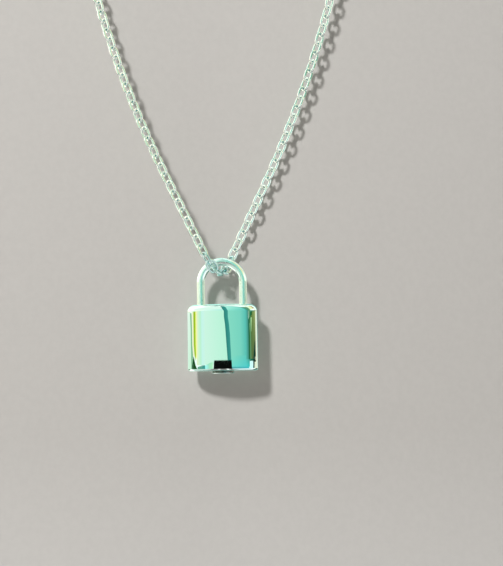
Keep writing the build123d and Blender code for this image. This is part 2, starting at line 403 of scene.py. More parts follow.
class StudioSettings(bpy.types.PropertyGroup):
    """Paper, light and camera."""

    paper: tint("Paper", "Colour of the floor and backdrop", (0.62, 0.60, 0.57))
    paper_gap: size("Paper gap", "Backdrop's distance behind the loop's plane", 3.8 * mm)
    left_turn: angle("Left turn", "How the backdrop's left part nears the loop's plane", 7)
    right_turn: angle("Right turn", "How the backdrop's right part leaves the loop's plane", 2.5)
    floor_drop: size("Floor drop", "Floor's depth below the padlock", 60 * mm)
    key_size: size("Key light size", "Width of the main light", 75 * mm)
    key_distance: size("Key light distance", "Distance of the main light", 600 * mm)
    key_power: bpy.props.FloatProperty(
        name="Key light power", description="Power of the main light in watts", default=2.5, min=0.0
    )
    fill: share("Fill", "Strength of the even light on the paper", 0.26)
    card_distance: size("Card distance", "Distance of the mirrored cards", 1500 * mm)
    lens: bpy.props.FloatProperty(
        name="Lens", description="Focal length of the camera", default=50.88, unit="CAMERA"
    )


class PendantSettings(bpy.types.PropertyGroup):
    """Everything that a user can change."""

    case: settings_of(CaseSizes, "Case", "Sizes of the case")
    plug: settings_of(PlugSizes, "Plug", "Sizes of the plug")
    shackle: settings_of(ShackleSizes, "Shackle", "Sizes of the shackle")
    chain: settings_of(ChainSizes, "Chain", "Sizes of the chain and of its clasp")
    finish: settings_of(FinishSettings, "Finish", "Colours and wear")
    studio: settings_of(StudioSettings, "Studio", "Paper, light and camera")


def oval_outline(width, depth, side_radius, face_steps, side_steps):
    """Points and outward directions of an oval seen from above, anticlockwise from its front.

    A point is its arc's centre plus the arc's radius times the unit vector at an angle that grows
    evenly along the arc. The arcs are half the front, a side, the back, a side, half the front.
    """
    reach, room = width / 2 - side_radius, depth / 2 - side_radius
    offset = (reach**2 - room**2) / (2 * room)
    face_radius = depth / 2 + offset
    half, quarter = math.atan2(reach, offset), math.pi / 2
    front, side, back = (0, offset), (reach, 0), (0, -offset)
    arcs = (
        (front, face_radius, -quarter, face_steps),
        (side, side_radius, half - quarter, side_steps),
        (back, face_radius, quarter - half, 2 * face_steps),
        ((-reach, 0), side_radius, quarter + half, side_steps),
        (front, face_radius, 3 * quarter - half, face_steps),
    )
    centres, radii, turns, steps = zip(*arcs)
    ends = (*turns[1:], 3 * quarter)
    spans = [np.linspace(a, b, n, endpoint=False) for a, b, n in zip(turns, ends, steps)]
    outward = rays(np.concatenate(spans))[1]
    radii = np.repeat(radii, steps)[:, None]
    return np.repeat(centres, steps, axis=0) + radii * outward, outward


def slot_outline(width, length, corner, corner_steps, side_steps):
    """Points and outward directions of a slot with rounded corners, anticlockwise.

    Each quarter is an arc round its corner's centre, and then points evenly spaced on the straight
    side to the next arc. The third result is how far round the outline each point is, as an angle.
    """
    a, b = width / 2 - corner, length / 2 - corner
    centres = ((a, b), (-a, b), (-a, -b), (a, -b))
    points, outward = [], []
    for quarter, centre in enumerate(centres):
        angles = math.pi / 2 * (quarter + np.linspace(0, 1, corner_steps + 1))
        arc = np.stack([np.cos(angles), np.sin(angles)], axis=1)
        start = np.array(centre) + corner * arc[-1]
        end = np.array(centres[(quarter + 1) % 4]) + corner * arc[-1]
        parts = np.linspace(0, 1, side_steps, endpoint=False)[1:, None]
        points += [np.array(centre) + corner * arc, start + (end - start) * parts]
        outward += [arc, np.repeat(arc[-1:], side_steps - 1, axis=0)]
    points, outward = np.concatenate(points), np.concatenate(outward)
    travel = np.cumsum(np.linalg.norm(points - np.roll(points, 1, axis=0), axis=1))
    first = np.linalg.norm(points[0] - points[-1])
    angles = 2 * math.pi * (travel - first + b) / travel[-1]
    return points, outward, angles


def rays(angles):
    """A point and unit vectors round it, on which a profile's offset is its radius."""
    outward = np.stack([np.cos(angles), np.sin(angles)], axis=1)
    return np.zeros_like(outward), outward


def rounding(offset, height, radius, start, end, steps, rub_and_shade=1.0):
    """Profile rows round an edge: a centre plus a radius times the unit vector, start to end."""
    angles = np.radians(np.linspace(start, end, steps + 1))
    out, up = np.cos(angles), np.sin(angles)
    rubbed = rub_and_shade * np.sin(np.linspace(0, math.pi, steps + 1))
    return np.stack([offset + radius * out, height + radius * up, out, up, rubbed], axis=1)


def wall(offset, heights, out):
    """Profile rows up or down a straight wall, whose normal points outwards or inwards."""
    heights = np.asarray(heights, float)
    same = np.ones_like(heights)
    return np.stack([offset * same, heights, out * same, 0 * same, 0 * same], axis=1)


def carried(outline, outward, profile):
    """Rings of a profile that is carried round an outline seen from above.

    A profile row is an offset, a height, the outward and upward parts of the normal, and how much
    that place is rubbed. Its ring is the outline plus the offset times the outward direction.
    """
    offset, height, out, up, rubbed = (column[:, None] for column in np.asarray(profile, float).T)
    ones = np.ones((1, len(outline)))
    x = outline[:, 0] + offset * outward[:, 0]
    y = outline[:, 1] + offset * outward[:, 1]
    points = np.stack([x, y, height * ones], axis=-1)
    normals = np.stack([out * outward[:, 0], out * outward[:, 1], up * ones], axis=-1)
    return points, normals, rubbed * ones


def swept(centres, tangents, radii, lean, across, steps, turn=0.0):
    """Rings of a round wire that is swept along a flat path.

    A ring's point is the path's point plus the radius times a unit vector that turns from the
    inward direction to the one across the path. The normal leans along the path by an angle.
    """
    angles = (turn + np.linspace(0, 2 * math.pi, steps, endpoint=False))[None, :, None]
    across = np.broadcast_to(np.asarray(across, float), tangents.shape)
    inward = np.cross(across, tangents)
    spoke = np.cos(angles) * inward[:, None] + np.sin(angles) * across[:, None]
    points = centres[:, None] + np.asarray(radii)[:, None, None] * spoke
    lean = np.asarray(lean)[:, None, None]
    normals = np.cos(lean) * spoke + np.sin(lean) * tangents[:, None]
    return points, normals


def grid_faces(rows, columns):
    """Corners of the faces of an open grid."""
    place = np.arange(rows * columns).reshape(rows, columns)
    corners = (place[:-1, :-1], place[:-1, 1:], place[1:, 1:], place[1:, :-1])
    return np.stack(corners, axis=-1).reshape(-1, 4)


def joined_rings(rows, columns, closed=False):
    """Corners of the faces between neighbouring rings, and from the last to the first if closed."""
    place = np.arange(rows * columns).reshape(rows, columns)
    low = place if closed else place[:-1]
    high = np.roll(place, -1, axis=0) if closed else place[1:]
    corners = (low, np.roll(low, -1, axis=1), np.roll(high, -1, axis=1), high)
    return np.stack(corners, axis=-1).reshape(-1, 4)


class Skin:
    """Rings of a surface, gathered until the piece is whole."""

    def __init__(self):
        self.points, self.normals, self.marks, self.faces, self.count = [], [], [], [], 0

    def add(self, points, normals, marks=None, closed=False):
        """Takes in a grid of rings, each joined to the next."""
        rows, columns = points.shape[:2]
        marks = np.zeros((rows, columns)) if marks is None else marks
        self.faces.append(joined_rings(rows, columns, closed) + self.count)
        self.points.append(points.reshape(-1, 3))
        self.normals.append(normals.reshape(-1, 3))
        self.marks.append(np.broadcast_to(marks, (rows, columns)).reshape(-1))
        self.count += rows * columns

    def welded(self):
        """Points, normals, marks and faces, with equal points made one and thin faces dropped."""
        points, normals = np.concatenate(self.points), np.concatenate(self.normals)
        keys = np.round(points / (1e-5 * mm)).astype(np.int64)
        _, first, place = np.unique(keys, axis=0, return_index=True, return_inverse=True)
        quads = place.reshape(-1)[np.concatenate(self.faces)]
        repeated = quads == np.roll(quads, -1, axis=1)
        whole = quads[~repeated.any(axis=1)]
        folded = repeated.sum(axis=1) == 1
        triangles = quads[folded][~repeated[folded]].reshape(-1, 3)
        faces = whole.tolist() + triangles.tolist()
        return points[first], normals[first], np.concatenate(self.marks)[first], faces


def put_object(name, data):
    """A new object of this scene, at the origin."""
    thing = bpy.data.objects.new(name, data)
    bpy.context.scene.collection.objects.link(thing)
    return thing


def put_piece(name, skin, place, material, body, nodes):
    """Puts the skin in the scene as a smooth mesh with its normals, standing for its CAD nodes."""
    points, normals, marks, faces = skin.welded()
    mesh = bpy.data.meshes.new(name)
    mesh.from_pydata((points + np.asarray(place, float)).tolist(), [], faces)
    mesh.shade_smooth()
    lengths = np.linalg.norm(normals, axis=1, keepdims=True)
    mesh.normals_split_custom_set_from_vertices((normals / lengths).tolist())
    # Rub marks, and on the chain's links painted shade
    attribute = mesh.attributes.new("rub_and_shade", "FLOAT", "POINT")
    attribute.data.foreach_set("value", marks.astype(np.float32))
    mesh.materials.append(material)
    mesh.validate()
    piece = put_object(name, mesh)
    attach(piece, body)
    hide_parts(*nodes)


def case_skin(case, height):
    """Case from its foot up, with the middle of the foot at the origin.

    One profile runs round the oval: out of the plug's seat, over the foot, up the wall and round
    the shoulder. The flat top is two halves, each spun between half the oval and a leg's bore.
    """
    steps = face_steps, side_steps = 56, 24
    outline, outward = oval_outline(case.width, case.depth, case.side_radius, *steps)
    mouth, ease, seat = case.mouth_radius, 0.05 * mm, case.seat_radius
    roof = [(0, case.seat_depth, 0, -1, 0), (seat - ease, case.seat_depth, 0, -1, 0)]
    seat_profile = np.vstack(
        [
            roof,
            wall(seat, np.linspace(case.seat_depth - ease, 2 * mouth, 4), -1),
            rounding(seat + mouth, mouth, mouth, 180, 270, 4, rub_and_shade=0.6),
        ]
    )
    foot, shoulder = case.foot_radius, case.shoulder_radius
    body_profile = np.vstack(
        [
            rounding(-foot, foot, foot, -90, 0, 8),
            wall(0, np.linspace(foot, height - shoulder, 12)[1:-1], 1),
            rounding(-shoulder, height - shoulder, shoulder, 0, 90, 24, rub_and_shade=0.45),
        ]
    )
    rim = outline - foot * outward
    seat_rings = carried(*rays(np.arctan2(rim[:, 1], rim[:, 0])), seat_profile)
    body_rings = carried(outline, outward, body_profile)
    skin = Skin()
    skin.add(*[np.concatenate(pair) for pair in zip(seat_rings, body_rings)])
    edge, back = body_rings[0][-1], 2 * face_steps + side_steps
    halves = np.linspace(edge[back], edge[0], 14)[1:-1]
    right = np.concatenate([edge[: back + 1], halves])
    left = np.concatenate([edge[back:], edge[:1], halves[::-1]])
    for loop, side, depth in ((right, 1, case.short_bore), (left, -1, case.long_bore)):
        centre = np.array([side * case.leg_spacing / 2, 0.0])
        angles = np.arctan2(loop[:, 1] - centre[1], loop[:, 0] - centre[0])
        start, spokes = rays(angles)
        bore = case.bore_radius
        floor = [(bore - ease, height - depth, 0, 1, 0), (0, height - depth, 0, 1, 0)]
        profile = np.vstack(
            [
                rounding(bore + mouth, height - mouth, mouth, 90, 180, 4, rub_and_shade=0.8),
                wall(bore, np.linspace(height - 2 * mouth, height - depth + ease, 4), -1),
                floor,
            ]
        )
        points, normals, marks = carried(start + centre, spokes, profile)
        up = np.broadcast_to([0.0, 0.0, 1.0], (1, len(loop), 3))
        points = np.concatenate([loop[None], points])
        normals = np.concatenate([up, normals])
        marks = np.concatenate([np.zeros((1, len(loop))), marks])
        skin.add(points, normals, marks)
    return skin


def plug_skin(plug, height):
    """Plug from its foot up: out of the keyway, over the face and its rim, and up to the top."""
    outline, outward, angles = slot_outline(
        plug.keyway_width, plug.keyway_length, plug.keyway_corner, 4, 24
    )
    mouth, depth, ease = plug.keyway_mouth, plug.keyway_depth, 0.03 * mm
    slot_profile = np.vstack(
        [
            [(-plug.keyway_width / 2 + 2 * ease, depth, 0, -1, 0), (-ease, depth, 0, -1, 0)],
            wall(0, np.linspace(depth - ease, 2 * mouth, 6), -1),
            rounding(mouth, mouth, mouth, 180, 270, 4, rub_and_shade=0.9),
        ]
    )
    rim, radius = plug.rim_radius, plug.radius
    face = [(part * radius, 0, 0, -1, 0) for part in np.linspace(0.68, 0.9, 4)]
    body_profile = np.vstack(
        [
            face,
            rounding(radius - rim, rim, rim, -90, 0, 6),
            wall(radius, np.linspace(rim, height - 2 * ease, 6)[1:], 1),
            [(radius - ease, height, 0, 1, 0), (0, height, 0, 1, 0)],
        ]
    )
    slot_rings = carried(outline, outward, slot_profile)
    body_rings = carried(*rays(angles), body_profile)
    skin = Skin()
    skin.add(*[np.concatenate(pair) for pair in zip(slot_rings, body_rings)])
    roof = slot_rings[0][0]
    middle = roof * [0.0, 1.0, 1.0]
    down = np.broadcast_to([0.0, 0.0, -1.0], (2, len(roof), 3))
    skin.add(np.stack([middle, roof]), down)
    return skin


def shackle_skin(shackle, spacing, leg_bottom, case_top):
    """Wire up the long leg, round a half circle and down the short leg, with rounded ends.

    The path is a line, a half circle and a line. Near an end, the radius and the travel follow a
    quarter circle. The marks grow under the middle of the arch, where the chain rubs.
    """
    reach, radius, ease = spacing / 2, shackle.wire / 2, shackle.end_radius
    centre = case_top + shackle.leg_rise
    short_end = case_top - shackle.short_leg_depth
    quarter = np.radians(np.linspace(0, 90, 7))
    tip = ease * (1 - np.cos(quarter))
    turn = np.radians(np.linspace(180, 0, 61))
    long_leg = np.linspace(leg_bottom + 2 * ease, centre, 18)[:-1]
    short_leg = np.linspace(centre, short_end + 2 * ease, 12)[1:]
    left = np.concatenate([[leg_bottom], leg_bottom + tip, long_leg])
    right = np.concatenate([short_leg, short_end + tip[::-1], [short_end]])
    x = np.concatenate([0 * left - reach, reach * np.cos(turn), 0 * right + reach])
    z = np.concatenate([left, centre + reach * np.sin(turn), right])
    tangents = np.concatenate(
        [
            np.tile([0.0, 0.0, 1.0], (len(left), 1)),
            np.stack([np.sin(turn), 0 * turn, -np.cos(turn)], axis=1),
            np.tile([0.0, 0.0, -1.0], (len(right), 1)),
        ]
    )
    body = len(x) - 2 * (len(quarter) + 1)
    rounded = radius - ease + ease * np.sin(quarter)
    radii = np.concatenate([[0], rounded, np.full(body, radius), rounded[::-1], [0]])
    end_lean = np.concatenate([[-math.pi / 2], quarter - math.pi / 2])
    lean = np.concatenate([end_lean, np.zeros(body), -end_lean[::-1]])
    centres = np.stack([x, 0 * x, z], axis=1)
    wire_steps = 40
    points, normals = swept(centres, tangents, radii, lean, (0, 1, 0), wire_steps)
    under = np.clip((z - centre) / reach, 0, 1)[:, None] ** 3
    inside = np.clip(np.cos(np.linspace(0, 2 * math.pi, wire_steps, endpoint=False)), 0, 1)[None]
    skin = Skin()
    skin.add(points, normals, under * inside)
    return skin


def ring_rings(diameter, wire, steps, wire_steps):
    """Rings of a plain round ring, flat on the XY plane: a circle swept round a circle."""
    angles = np.linspace(0, 2 * math.pi, steps, endpoint=False)
    spokes = np.stack([np.cos(angles), np.sin(angles), 0 * angles], axis=1)
    tangents = np.stack([-np.sin(angles), np.cos(angles), 0 * angles], axis=1)
    radii = np.full(steps, wire / 2)
    return swept((diameter - wire) / 2 * spokes, tangents, radii, 0 * radii, (0, 0, 1), wire_steps)


def link_rings(length, width, wire, bend_steps, wire_steps):
    """Rings of one oval link, long along X: a circle swept round two half circles and two lines."""
    bend = (width - wire) / 2
    straight = length + wire - 2 * bend
    half = np.radians(np.linspace(-90, 90, bend_steps + 1))
    angles = np.concatenate([half, half + math.pi])
    ends = np.repeat([straight / 2, -straight / 2], bend_steps + 1)
    centres = np.stack([ends + bend * np.cos(angles), bend * np.sin(angles), 0 * angles], axis=1)
    tangents = np.stack([-np.sin(angles), np.cos(angles), 0 * angles], axis=1)
    radii, turn = np.full(len(angles), wire / 2), math.pi / wire_steps
    return swept(centres, tangents, radii, 0 * radii, (0, 0, 1), wire_steps, turn)


def travelled(distances, runs):
    """Sideways and upward travel at distances along runs whose tilt changes evenly.

    Such a run is an arc: sideways travel is the fall of the tilt's cosine and upward travel the
    rise of its sine, each over the turn per length, and a run without turn is a line.
    """
    side, rise, start = np.zeros_like(distances), np.zeros_like(distances), 0.0
    for length, tilt_from, tilt_to in runs:
        part = np.clip(distances - start, 0, length)
        turn, tilt = math.radians(tilt_to - tilt_from) / length, math.radians(tilt_from)
        if abs(turn) < 1e-9:
            side, rise = side + part * math.sin(tilt), rise + part * math.cos(tilt)
        else:
            side = side + (math.cos(tilt) - np.cos(tilt + turn * part)) / turn
            rise = rise + (np.sin(tilt + turn * part) - math.sin(tilt)) / turn
        start += length
    return side, rise


def clasp_places(chain):
    """Distances along the clasp from its centre: eyelet, end ring, left pivot and right pivot."""
    eyelet = (chain.clasp_diameter + chain.eyelet_diameter) / 2 - chain.eyelet_overlap
    ring_reach = (chain.ring_diameter - chain.ring_wire) / 2
    eyelet_reach = (chain.eyelet_diameter - chain.eyelet_wire) / 2
    inside = chain.clasp_diameter / 2 - chain.clasp_wire
    ring = inside - chain.ring_play - chain.ring_wire / 2 + ring_reach
    left = eyelet + eyelet_reach - chain.end_play - chain.eyelet_wire / 2
    right = ring + ring_reach - chain.end_play - chain.ring_wire / 2
    return eyelet, ring, left, right


def strand_pivots(chain):
    """Pivots of the left strand, the crossing and the right strand, from the arch's centre."""
    crossing = np.array(crossing_route)[:, :3] * mm
    first, last = crossing[0], crossing[-1]
    _, _, left_end, right_end = clasp_places(chain)
    half_clasp = (left_end + right_end) / 2
    runs, tilt = [], strand_tilt
    for length, tilt_end in strand_runs:
        runs.append((length * mm, tilt, tilt_end))
        tilt = tilt_end
    bent = sum(run[0] for run in runs)
    side, _ = travelled(np.array([bent]), runs)
    half_width = (last[0] - first[0]) / 2 + side[0]
    under = np.linalg.norm(np.diff(crossing, axis=0), axis=1).sum()
    top = math.pi / 2 * (half_width - half_clasp)
    straight = chain.length / 2 - under / 2 - half_clasp - bent - top
    runs += [(straight, tilt, tilt), (top, tilt, -90.0)]
    whole = sum(run[0] for run in runs)
    count = round(whole / chain.link_pitch)
    steps = np.linspace(0, 1, count + 1)
    side, rise = travelled(steps * whole, runs)
    left, right = [
        np.stack([foot[0] + sign * side, foot[1] * (1 - steps), foot[2] + rise], axis=1)
        for foot, sign in ((first, -1), (last, 1))
    ]
    return left, crossing, right


def link_frames(starts, ends, rolls, side_axis):
    """Middles and axes of links from pivot to pivot, rolled about their length from a side axis."""
    along = ends - starts
    along = along / np.linalg.norm(along, axis=1, keepdims=True)
    side = side_axis - along * (along @ side_axis)[:, None]
    side = side / np.linalg.norm(side, axis=1, keepdims=True)
    across = np.cross(side, along)
    width = across * np.cos(rolls)[:, None] + side * np.sin(rolls)[:, None]
    return (starts + ends) / 2, np.stack([along, width, np.cross(along, width)], axis=1)


def chain_skin(chain):
    """Every link, one grid of rings each, turned into the axes of its place on the loop.

    The marks are painted shade, tinted cyan: they grow at a link's inner ends, where the next
    links meet it, and on whole links down towards the arch, which shades them.
    """
    left, crossing, right = strand_pivots(chain)
    flips = np.where(np.arange(len(left) - 1) % 2 == 0, chain.link_roll, -chain.link_roll)
    crossing_rolls = np.radians(np.array(crossing_route)[:-1, 3])
    depth, sideways = np.array([0.0, 1.0, 0.0]), np.array([1.0, 0.0, 0.0])
    places = (
        link_frames(crossing[:-1], crossing[1:], crossing_rolls, sideways),
        link_frames(left[:-1], left[1:], flips, depth),
        link_frames(right[:-1], right[1:], flips, depth),
    )
    middles = np.concatenate([place[0] for place in places])
    axes = np.concatenate([place[1] for place in places])
    hole = chain.link_pitch + chain.link_play
    points, normals = link_rings(
        hole, chain.link_width, chain.link_wire, bend_steps=5, wire_steps=6
    )
    # Painted shade at a link's inner ends, where the next links meet it
    inner = np.clip(-normals[..., 0] * np.sign(points[..., 0]), 0, 1)
    # Painted shade over whole links down towards the arch
    whole = arch_shade * np.clip((shade_top - middles[:, 2] / mm) / shade_fade, 0, 1)
    skin = Skin()
    for middle, axis, least in zip(middles, axes, whole):
        skin.add(points @ axis + middle, normals @ axis, np.maximum(inner, least), closed=True)
    return skin


def rolled_ring(diameter, wire, steps, wire_steps, roll, along=0.0):
    """Rings of a plain ring at a distance along the loop's top, rolled about that direction."""
    across, up = math.sin(roll), math.cos(roll)
    axes = np.array([[1, 0, 0], [0, across, up], [0, -up, across]])
    points, normals = ring_rings(diameter, wire, steps, wire_steps)
    return (points + [along, 0, 0]) @ axes, normals @ axes


def last_roll(chain):
    """Roll of the last link of both strands."""
    links = len(strand_pivots(chain)[0]) - 1
    return chain.link_roll if (links - 1) % 2 == 0 else -chain.link_roll


def node_group(name, result, *numbers):
    """A shader node group from a vector and any numbers to one number, and its inner sockets."""
    group = bpy.data.node_groups.new(name, "ShaderNodeTree")
    group.interface.new_socket("Vector", in_out="INPUT", socket_type="NodeSocketVector")
    for label in numbers:
        group.interface.new_socket(label, in_out="INPUT", socket_type="NodeSocketFloat")
    group.interface.new_socket(result, in_out="OUTPUT", socket_type="NodeSocketFloat")
    ins, outs = group.nodes.new("NodeGroupInput"), group.nodes.new("NodeGroupOutput")
    return group, ins.outputs, outs.inputs[result]


def put_node(tree, kind, settings=(), **inputs):
    """A node with its settings, whose inputs are values or other nodes' outputs."""
    node = tree.nodes.new(kind)
    for name, value in dict(settings).items():
        setattr(node, name, value)
    for name, value in inputs.items():
        key = int(name[1:]) if name[0] == "i" and name[1:].isdigit() else name.replace("_", " ")
        if isinstance(value, bpy.types.NodeSocket):
            tree.links.new(value, node.inputs[key])
        else:
            node.inputs[key].default_value = value
    return node


def calculated(tree, operation, *values):
    """Output of a Math node."""
    inputs = {f"i{k}": value for k, value in enumerate(values)}
    return put_node(tree, "ShaderNodeMath", {"operation": operation}, **inputs).outputs[0]


def ramped(tree, value, low, high, to_low=0.0, to_high=1.0):
    """A value brought smoothly from one range to another."""
    node = put_node(tree, "ShaderNodeMapRange", {"interpolation_type": "SMOOTHSTEP"}, Value=value)
    ends = {"From Min": low, "From Max": high, "To Min": to_low, "To Max": to_high}
    for key, number in ends.items():
        node.inputs[key].default_value = number
    return node.outputs[0]


def noise(tree, vector, scale, detail=2.0, roughness=0.5, distortion=0.0):
    """Value of a Noise Texture."""
    node = put_node(
        tree,
        "ShaderNodeTexNoise",
        Vector=vector,
        Scale=scale,
        Detail=detail,
        Roughness=roughness,
        Distortion=distortion,
    )
    return node.outputs["Fac"]


def mixed_colour(tree, part, first, second):
    """Colour between two colours, by the second's part in it."""
    kind = {"data_type": "RGBA"}
    node = put_node(tree, "ShaderNodeMix", kind, i0=part, i6=(*first, 1), i7=(*second, 1))
    return node.outputs[2]


def scratch_group():
    """Hairlines in three directions: thin contour lines of stretched noise, broken into patches."""
    group, ins, mask = node_group("Hairline scratches", "Mask")
    vector, total, along = ins["Vector"], None, 160.0
    for turn, stretch, width in ((0.35, 26.0, 0.012), (1.9, 34.0, 0.010), (2.65, 20.0, 0.009)):
        turned = put_node(group, "ShaderNodeMapping", {"vector_type": "POINT"}, Vector=vector)
        turned.inputs["Rotation"].default_value = (turn, turn * 0.7, turn * 1.3)
        turned.inputs["Scale"].default_value = (along, along * stretch, along * stretch)
        field = calculated(group, "SUBTRACT", noise(group, turned.outputs[0], 1.0, 1.0), 0.5)
        line = ramped(group, calculated(group, "ABSOLUTE", field), 0.0, width, 1.0, 0.0)
        patch = ramped(group, noise(group, vector, 420.0 * turn, 2.0), 0.52, 0.66)
        broken = calculated(group, "MULTIPLY", line, patch)
        total = broken if total is None else calculated(group, "MAXIMUM", total, broken)
    group.links.new(total, mask)
    return group


def smudge_group():
    """Soft patches that handling leaves on a polish, with a finer mottle in them."""
    group, ins, mask = node_group("Handling smudges", "Mask")
    broad = ramped(group, noise(group, ins["Vector"], 330.0, 3.0), 0.42, 0.68)
    fine = ramped(group, noise(group, ins["Vector"], 2600.0, 4.0, 0.6), 0.35, 0.75, 0.5, 1.0)
    group.links.new(calculated(group, "MULTIPLY", broad, fine), mask)
    return group


def rub_group():
    """Rubbed edges: the piece's own rub marks, broken up by noise."""
    group, ins, mask = node_group("Rubbed edges", "Mask", "Rub")
    grain = noise(group, ins["Vector"], 1900.0, 4.0, 0.6)
    broken = calculated(group, "MULTIPLY_ADD", grain, 0.8, -0.4)
    group.links.new(ramped(group, calculated(group, "ADD", ins["Rub"], broken), 0.35, 0.95), mask)
    return group


def ripple_group():
    """Height of the slight unevenness that polishing leaves, from broad noise and a finer part."""
    group, ins, height = node_group("Polishing ripple", "Height")
    broad = noise(group, ins["Vector"], 260.0, 1.0)
    fine = calculated(group, "MULTIPLY", noise(group, ins["Vector"], 1500.0, 1.0), 0.06)
    group.links.new(calculated(group, "ADD", broad, fine), height)
    return group


def shared_groups():
    """The node groups that several finishes use, each built once."""
    builders = {
        "Hairline scratches": scratch_group,
        "Handling smudges": smudge_group,
        "Rubbed edges": rub_group,
        "Polishing ripple": ripple_group,
    }
    return {name: bpy.data.node_groups.get(name) or build() for name, build in builders.items()}


def steel_material(
    name, finish, colour, roughness, ripple, scratches=1.0, wear=1.0, painted_shade=0.0, middle=(0, 0, 0)
):
    """Polished steel: a bright metal whose roughness and height follow smudges, scratches and wear.

    Its colour turns to worn steel where the piece's own marks say that it rubs, or, where they
    mark painted shade, to the painted shade's darker cyan.
    """
    smudge_dulling, scratch_dulling, wear_dulling = 0.2, 0.05, 0.10
    scratch_depth, bump_height = 0.002, 0.02 * mm
    material = bpy.data.materials.new(name)
    material.use_nodes = True
    tree = material.node_tree
    shader = tree.nodes["Principled BSDF"]
    shader.inputs["Metallic"].default_value = 1.0
    place = put_node(tree, "ShaderNodeTexCoord").outputs["Object"]
    centred = put_node(tree, "ShaderNodeMapping", {"vector_type": "POINT"}, Vector=place)
    centred.inputs["Location"].default_value = middle
    vector = centred.outputs[0]
    masks = {
        label: put_node(tree, "ShaderNodeGroup", {"node_tree": group}, Vector=vector)
        for label, group in shared_groups().items()
        if label != "Rubbed edges" or not painted_shade
    }
    # Rub marks, and on the chain's links painted shade
    mark = put_node(tree, "ShaderNodeAttribute", {"attribute_name": "rub_and_shade"}).outputs["Fac"]
    hairlines, smudges = masks["Hairline scratches"], masks["Handling smudges"]
    lines = calculated(tree, "MULTIPLY", hairlines.outputs[0], finish.scratches * scratches)
    handled = calculated(tree, "MULTIPLY", smudges.outputs[0], finish.smudges)
    dull = calculated(tree, "MULTIPLY_ADD", handled, smudge_dulling * roughness, roughness)
    dull = calculated(tree, "MULTIPLY_ADD", lines, scratch_dulling, dull)
    # Painted shade: the marks turn the colour towards a darker cyan instead of rubbing it brighter
    if painted_shade:
        other = finish.painted_shade
        mask = calculated(tree, "MULTIPLY", ramped(tree, mark, 0.3, 1.0), painted_shade)
    else:
        other, rubbed = finish.worn_steel, masks["Rubbed edges"]
        tree.links.new(mark, rubbed.inputs["Rub"])
        mask = calculated(tree, "MULTIPLY", rubbed.outputs[0], finish.wear * wear)
        dull = calculated(tree, "MULTIPLY_ADD", mask, wear_dulling, dull)
    shade = mixed_colour(tree, mask, colour, other)
    tree.links.new(shade, shader.inputs["Base Color"])
    tree.links.new(dull, shader.inputs["Roughness"])
    furrows = calculated(tree, "MULTIPLY", lines, -scratch_depth)
    uneven = masks["Polishing ripple"].outputs[0]
    height = calculated(tree, "MULTIPLY_ADD", uneven, ripple, furrows)
    bump = put_node(tree, "ShaderNodeBump", Strength=1.0, Distance=bump_height, Height=height)
    tree.links.new(bump.outputs[0], shader.inputs["Normal"])
    return material


def turned_material(name, finish, middle):
    """Steel faced on a lathe: fine rings round the plug's axis, worn brighter at its edges, where
    the doubled wear also paints a highlight along the rim.
    """
    # Doubled wear: rubbed edges, and a painted highlight on the rim
    material = steel_material(
        name, finish, finish.dark_plug, roughness=0.16, ripple=0.2, wear=2.0, middle=middle
    )
    rings_a_metre, ring_height = 26000.0, 0.12
    tree = material.node_tree
    height = next(node for node in tree.nodes if node.type == "BUMP").inputs["Height"]
    place = next(node for node in tree.nodes if node.type == "MAPPING").outputs[0]
    flat = put_node(tree, "ShaderNodeVectorMath", {"operation": "MULTIPLY"}, i0=place, i1=(1, 1, 0))
    radius = put_node(tree, "ShaderNodeVectorMath", {"operation": "LENGTH"}, i0=flat.outputs[0])
    step = calculated(tree, "MULTIPLY", radius.outputs["Value"], rings_a_metre)
    rings = put_node(tree, "ShaderNodeTexNoise", {"noise_dimensions": "1D"}, W=step, Detail=2.0)
    old = height.links[0].from_socket
    tree.links.new(calculated(tree, "MULTIPLY_ADD", rings.outputs["Fac"], ring_height, old), height)
    return material


def empty_material(name):
    """A material without nodes, and its node tree."""
    material = bpy.data.materials.new(name)
    material.use_nodes = True
    material.node_tree.nodes.clear()
    return material, material.node_tree


def paper_material(name, colour):
    """Matt paper with a faint fibre, clear from behind so that it never hides the pendant."""
    material, tree = empty_material(name)
    place = put_node(tree, "ShaderNodeTexCoord").outputs["Object"]
    fibre = ramped(tree, noise(tree, place, 900.0, 4.0, 0.65), 0.3, 0.7)
    shade = mixed_colour(tree, fibre, [0.97 * channel for channel in colour], colour)
    matt = put_node(tree, "ShaderNodeBsdfDiffuse", Color=shade)
    clear = put_node(tree, "ShaderNodeBsdfTransparent")
    behind = put_node(tree, "ShaderNodeNewGeometry").outputs["Backfacing"]
    mix = put_node(tree, "ShaderNodeMixShader", i0=behind, i1=matt.outputs[0], i2=clear.outputs[0])
    put_node(tree, "ShaderNodeOutputMaterial", Surface=mix.outputs[0])
    return material


def glow_material(name):
    """Light of a card's own colour, kept in the mesh."""
    material, tree = empty_material(name)
    colour = put_node(tree, "ShaderNodeAttribute", {"attribute_name": "glow"}).outputs["Color"]
    light = put_node(tree, "ShaderNodeEmission", Color=colour, Strength=1.0)
    put_node(tree, "ShaderNodeOutputMaterial", Surface=light.outputs[0])
    return material


def settings():
    """The pendant's settings in this scene."""
    return bpy.context.scene.pendant


def arch_centre():
    """Centre of the shackle's arch."""
    return case_middle, 0.0, case_high.z + settings().shackle.leg_rise


class PENDANT_OT_lock_case(bpy.types.Operator):
    """Build the polished case with its bores"""

    bl_idname = "pendant.lock_case"
    bl_label = "Lock case"

    def execute(self, context):
        finish, middle = settings().finish, (-case_middle, 0, -case_low.z)
        material = steel_material(
            "Polished case", finish, finish.steel, roughness=0.012, ripple=0.05, middle=middle
        )
        skin = case_skin(settings().case, case_high.z - case_low.z)
        place = (case_middle, 0, case_low.z)
        put_piece(
            "lock_case_polished", skin, place, material, "case", ["lock_case"]
        )
        return {"FINISHED"}


